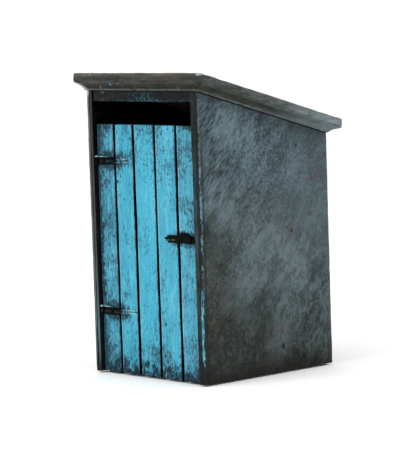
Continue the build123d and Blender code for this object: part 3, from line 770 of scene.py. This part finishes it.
def ironFinish():
    f = Finish("wornBlackIron", 0.03)
    c = ironPaints
    x, z = f.x, f.z
    cast = f.noise(*ironNoises["cast"])
    blotch = f.noise(*ironNoises["blotch"])
    colour = f.mix(blotch.rise(0.35, 0.65), *c["iron"])
    # a grey-green painted highlight between the ribs, and blue paint caught at the tips and along the top
    # edges at the root
    for low, high in strapBoxes:
        middle = (low[2] + high[2]) / 2
        ribHighlight = z.band(middle - 0.007, middle + 0.001, 0.002)
        colour = f.mix(ribHighlight * blotch.rise(0.4, 0.6) * 0.6, colour, c["strapHighlight"])
        tip = f.near((high[0] - 0.004, low[1], middle), (0.016, 0.1, 0.013), 0.5 + blotch)
        colour = f.mix(tip * 0.8, colour, c["strapTip"])
        root = z.band(high[2] - 0.003, high[2] + 0.003, 0.001) * x.rise(-0.19, -0.24)
        colour = f.mix(root * blotch.rise(0.34, 0.5) * 0.9, colour, c["strapRoot"])
    # a grey-green painted highlight along the latch's middle
    ribHighlight = z.band(latchMiddle - 0.006, latchMiddle + 0.001, 0.0015) * x.rise(0.18, 0.15)
    colour = f.mix(ribHighlight * blotch.rise(0.35, 0.55) * 0.75, colour, c["latchHighlight"])
    smears = (blotch * 0.6 + cast * 0.4).rise(0.6, 0.7)
    colour = f.mix(smears * 0.4, colour, c["smear"])
    return f.done(colour, cast * 0.35 + 0.4, cast * 0.5 + blotch * 0.5, 0.5, 0.0008)


smallPaints = {
    "steel": (paint(12, 14, 14), paint(62, 60, 56)),
    "rubber": (paint(16, 16, 16), paint(40, 39, 37)),
    "plastic": (paint(12, 12, 12), paint(44, 44, 43)),
}

smallNoises = {
    "cast": ((420, 420, 420), 3, 0.6),
    "dust": ((30, 30, 30), 4, 0.6),
    "pores": ((300, 300, 300), 3),
    "scuff": ((90, 90, 200), 4, 0.6),
}


def screwFinish():
    f = Finish("blackenedSteel", 0.1)
    cast = f.noise(*smallNoises["cast"]).rise(0.35, 0.65)
    colour = f.mix(cast, *smallPaints["steel"])
    return f.done(colour, cast * 0.3 + 0.4, cast, 0.3, 0.0004, cast * 0.5)


def matFinish():
    f = Finish("ribbedRubber", 0.2)
    dust = f.noise(*smallNoises["dust"]).rise(0.4, 0.7)
    colour = f.mix(dust, *smallPaints["rubber"])
    return f.done(colour, dust * 0.2 + 0.7, f.noise(*smallNoises["pores"]), 0.3, 0.0005)


def glideFinish():
    f = Finish("blackPlastic", 0.3)
    scuff = f.noise(*smallNoises["scuff"]).rise(0.4, 0.7)
    colour = f.mix(scuff, *smallPaints["plastic"])
    return f.done(colour, scuff * 0.25 + 0.45, scuff, 0.3, 0.0004)


finishes = {
    "body_paint": bodyFinish(),
    "roof_paint": roofFinish(),
    "door_paint": doorFinish(),
    "inner_wood": innerFinish("darkWoodDeep", (120, 10, 120)),
    "iron": ironFinish(),
    "screw": screwFinish(),
    "mat": matFinish(),
    "glide": glideFinish(),
}

slots = {entry["node"]: entry["material_slot"] for entry in frame["record"]["subparts"]}
bodies = {}
for body, names in frame["record"]["behaviour"]["bodies"].items():
    for name in names:
        bodies[name] = body

# inner boards whose grain runs across, upright or on the slant
braceLow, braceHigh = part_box("door_brace_upper")
lean = -math.atan2(braceHigh[2] - braceLow[2], braceHigh[0] - braceLow[0])
acrossWood = innerFinish("darkWoodAcross", (10, 120, 120))
uprightWood = innerFinish("darkWoodUpright", (120, 120, 10))
slantedWood = innerFinish("darkWoodSlanted", (10, 120, 120), (0, lean, 0))
grainRuns = {
    "door_ledge": acrossWood,
    "floor_bearer": acrossWood,
    "sill_rail": acrossWood,
    "roof_cleat_back": acrossWood,
    "rear_post": uprightWood,
    "door_brace": slantedWood,
}


def finishOf(name):
    # some inner boards have a grain of their own; the rest go by their slot
    for start, material in grainRuns.items():
        if name.startswith(start):
            return material
    return finishes[slots[name]]


for name in slots:
    nodes[name].data.materials.clear()
    nodes[name].data.materials.append(finishOf(name))
print("finishes made")

# shared steps for the shaped pieces: angles in radians and lengths in metres

shaping = {
    "weld": 1e-5,
    "level": 0.02,
    "sharp": 0.5,
    "segments": 3,
    "cut": 1e-6,
    "seedStep": 7.3,
    "chipScale": 3.1,
    "chipGain": 2.2,
    "flatFace": 0.97,
    "smooth": 0.7,
}


def clamp(value):
    return min(max(value, 0), 1)


def shapeOf(name):
    # a node's mesh, with its faces joined up again
    bm = bmesh.new()
    bm.from_mesh(nodes[name].data)
    bmesh.ops.remove_doubles(bm, verts=bm.verts, dist=shaping["weld"])
    bmesh.ops.dissolve_limit(bm, angle_limit=shaping["level"], verts=bm.verts, edges=bm.edges)
    return bm


def soften(bm, width, least):
    # round the sharp edges that are longer than least
    sharp = [e for e in bm.edges if e.is_manifold and e.calc_face_angle(0) > shaping["sharp"]]
    sharp = [e for e in sharp if e.calc_length() > least]
    bmesh.ops.bevel(bm, geom=sharp, offset=width, offset_type="OFFSET", segments=shaping["segments"],
                    profile=0.5, affect="EDGES", clamp_overlap=True, material=-1)


def cutAt(bm, place, normal):
    everything = bm.verts[:] + bm.edges[:] + bm.faces[:]
    bmesh.ops.bisect_plane(bm, geom=everything, plane_co=place, plane_no=normal, dist=shaping["cut"])


def cutAcross(bm, axis, step):
    places = [v.co[axis] for v in bm.verts]
    low = min(places)
    high = max(places)
    normal = Vector((0, 0, 0))
    normal[axis] = 1
    count = max(1, round((high - low) / step))
    for n in range(1, count):
        cutAt(bm, normal * (low + (high - low) * n / count), normal)


def wear(bm, s):
    # sink the surface by up to depth, and knock up to chip more off the rounded edges
    bm.normal_update()
    scale = s["scale"]
    for v in bm.verts:
        place = Vector((v.co.x * scale[0], v.co.y * scale[1], v.co.z * scale[2]))
        place = place + Vector((s["seed"] * shaping["seedStep"], 0, 0))
        sink = s["depth"] * clamp(0.5 + noise.noise(place))
        if max(abs(c) for c in v.normal) < shaping["flatFace"]:
            chips = noise.noise(place * shaping["chipScale"]) * shaping["chipGain"]
            sink = sink + s["chip"] * clamp(chips)
        v.co = v.co - v.normal * sink


def meshOf(name, bm):
    mesh = bpy.data.meshes.new(name)
    bm.to_mesh(mesh)
    bm.free()
    return mesh


def keep(name, bm, body, replaced):
    # the finished piece, which stands in for the node it replaces
    bmesh.ops.recalc_face_normals(bm, faces=bm.faces)
    mesh = meshOf(name, bm)
    mesh.shade_smooth()
    mesh.set_sharp_from_angle(angle=shaping["smooth"])
    mesh.materials.append(finishOf(replaced[0]))
    piece = bpy.data.objects.new(name, mesh)
    link(piece)
    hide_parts(*replaced)
    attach(piece, body)


# boards of the carcass, each with its cuts along x, y and z, its rounding and its wear

boards = {
    "side_panel_left": {"cuts": (None, 0.026, 0.03), "soft": 0.003, "seed": 1},
    "side_panel_right": {"cuts": (None, 0.026, 0.03), "soft": 0.003, "seed": 2},
    "back_panel": {"cuts": (0.026, None, 0.03), "soft": 0.002, "seed": 3},
    "front_post_left": {"cuts": (None, None, 0.014), "soft": 0.0025, "seed": 4},
    "front_post_right": {"cuts": (None, None, 0.014), "soft": 0.0025, "seed": 5},
    "header_rail": {"cuts": (0.008, None, 0.02), "soft": 0.003, "seed": 6, "chip": 0.0045},
    "roof_panel": {"cuts": (0.025, 0.025, None), "soft": 0.009, "seed": 7},
    "sill_rail": {"cuts": (0.02, None, None), "soft": 0.002, "seed": 8},
}
boardWear = {"scale": (26, 26, 12), "depth": 0.0009, "chip": 0.0018, "shortest": 0.06}

for name, s in boards.items():
    bm = shapeOf(name)
    soften(bm, s["soft"], boardWear["shortest"])
    for axis, step in enumerate(s["cuts"]):
        if step:
            cutAcross(bm, axis, step)
    wear(bm, {**boardWear, **s})
    keep(name + "_worn", bm, bodies[name], [name])
print("boards made")

# eave mouldings: the flat bevel is hollowed into a cove

cove = {
    "axes": {"front": 0, "back": 0, "left": 1, "right": 1},
    "rows": 8,
    "step": 0.03,
    "hollow": 0.0045,
    "topShare": 1.6,
}


def makeMould(place, axis, s):
    name = "eave_mould_" + place
    bm = shapeOf(name)
    normal = Vector((0, slope, 1)).normalized()
    for n in range(1, s["rows"]):
        cutAt(bm, (0, wallFront, wallTop - mouldDrop * n / s["rows"]), normal)
    cutAcross(bm, axis, s["step"])
    for v in bm.verts:
        # 0 where the moulding meets the roof and 1 at its foot; the hollow is deepest between
        drop = clamp((wallTop - slope * (v.co.y - wallFront) - v.co.z) / mouldDrop)
        v.co.z += s["hollow"] * 4 * drop * (1 - drop) * min(1, s["topShare"] * drop)
    keep(name + "_cove", bm, "case", [name])


for place, axis in cove["axes"].items():
    makeMould(place, axis, cove)
print("mouldings made")

# door planks: sawn boards with wandering edges, cupped faces and a ragged foot

plank = {
    "soft": 0.003,
    "shortest": 0.01,
    "rowStep": 0.022,
    "columnStep": 0.013,
    "border": 0.85,
    "wander": 0.003,
    "wave": {"seedStep": 5.1, "cycles": 7, "share": 0.8},
    "ripple": {"seedStep": 3.7, "cycles": 45, "share": 0.35},
    "cup": 0.0008,
    "bow": 3.0,
    "grain": 0.0006,
    "ridges": {"across": 110, "along": 5},
    "ragged": 0.006,
    "foot": 0.004,
    "bites": {"seedStep": 2.3, "cycles": 60, "gain": 1.5},
}


def makePlank(number, s):
    name = "door_plank_%d" % number
    low, high = (Vector(v) for v in plankBoxes[number - 1])
    wave, ripple, ridges, bites = (s[k] for k in ("wave", "ripple", "ridges", "bites"))
    bm = bmesh.new()
    bmesh.ops.create_cube(bm, size=1)
    for v in bm.verts:
        v.co = Vector(((low[n] + high[n]) / 2 + v.co[n] * (high[n] - low[n])) for n in range(3))
    soften(bm, s["soft"], s["shortest"])
    cutAcross(bm, 2, s["rowStep"])
    cutAcross(bm, 0, s["columnStep"])
    middle = (low.x + high.x) / 2
    half = (high.x - low.x) / 2
    for v in bm.verts:
        across = (v.co.x - middle) / half
        along = v.co.z
        if abs(across) > s["border"]:
            side = 1 if across > 0 else -1
            slow = noise.noise(Vector((number * wave["seedStep"] + side, 0, along * wave["cycles"])))
            quick = noise.noise(Vector((number * ripple["seedStep"] + side, 4, along * ripple["cycles"])))
            drift = clamp(0.5 + slow * wave["share"] + quick * ripple["share"])
            v.co.x -= side * s["wander"] * drift
        if v.co.y < (low.y + high.y) / 2:
            # every other plank is cupped
            cup = s["cup"] * (0.5 - 0.5 * math.cos(across * s["bow"])) * (number % 2)
            ridge = noise.noise(Vector((v.co.x * ridges["across"], number, along * ridges["along"])))
            v.co.y += cup + s["grain"] * clamp(0.5 + ridge)
        if along < low.z + s["foot"]:
            bite = noise.noise(Vector((v.co.x * bites["cycles"], number * bites["seedStep"], 1)))
            v.co.z += s["ragged"] * clamp(bite * bites["gain"])
    keep(name + "_sawn", bm, "door", [name])


for number in range(1, plankCount + 1):
    makePlank(number, plank)
print("planks made")

# hinge straps: forged, so their ribs wander a little and thin out to the tip

strap = {
    "halfWaves": {"upper": 0.9, "lower": 2.2},
    "step": 0.006,
    "root": 0.03,
    "taper": 0.0022,
    "upperRib": 0.1,
    "wave": 0.0016,
    "scale": (70, 70, 70),
    "depth": 0.0004,
    "chip": 0.0005,
    "seed": 21,
}


def makeStrap(place, halfWaves, s):
    name = "hinge_strap_" + place
    low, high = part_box(name)
    middle = (low[2] + high[2]) / 2
    bm = shapeOf(name)
    cutAcross(bm, 0, s["step"])
    start = low[0] + s["root"]
    for v in bm.verts:
        share = clamp((v.co.x - start) / (high[0] - start))
        away = (v.co.z - middle) / (high[2] - middle)
        v.co.z -= s["taper"] * share * away
        if away > s["upperRib"]:
            v.co.z -= s["wave"] * share * (1 - math.cos(share * math.pi * halfWaves))
    wear(bm, s)
    keep(name + "_forged", bm, "door", [name])


for place, halfWaves in strap["halfWaves"].items():
    makeStrap(place, halfWaves, strap)
print("hinges made")

# the latch: cast pieces with pitted faces

latchPieces = {
    "latch_plate": {"step": 0.005, "seed": 31},
    "latch_guide": {"step": 0.003, "seed": 32},
    "latch_keeper": {"step": 0.004, "seed": 33},
    "latch_bolt": {"step": 0.006, "seed": 34},
    "latch_tab": {"step": 0.002, "seed": 35},
}
latchWear = {"scale": (120, 120, 120), "depth": 0.0002, "chip": 0.0003}

for name, s in latchPieces.items():
    bm = shapeOf(name)
    cutAcross(bm, 0, s["step"])
    wear(bm, {**latchWear, **s})
    keep(name + "_cast", bm, bodies[name], [name])
print("latch made")

# the pale floor, which runs on well past the box on every side

ground = {"size": 60, "rough": 0.9}


def makeFloor(s):
    bm = bmesh.new()
    bmesh.ops.create_grid(bm, x_segments=1, y_segments=1, size=s["size"])
    mesh = meshOf("floor", bm)
    floor = bpy.data.objects.new("floor", mesh)
    f = Finish("paleFloor")
    tone = studio["floorTone"]
    mesh.materials.append(f.done((tone, tone, tone, 1), s["rough"]))
    link(floor)


makeFloor(ground)
print("floor made")
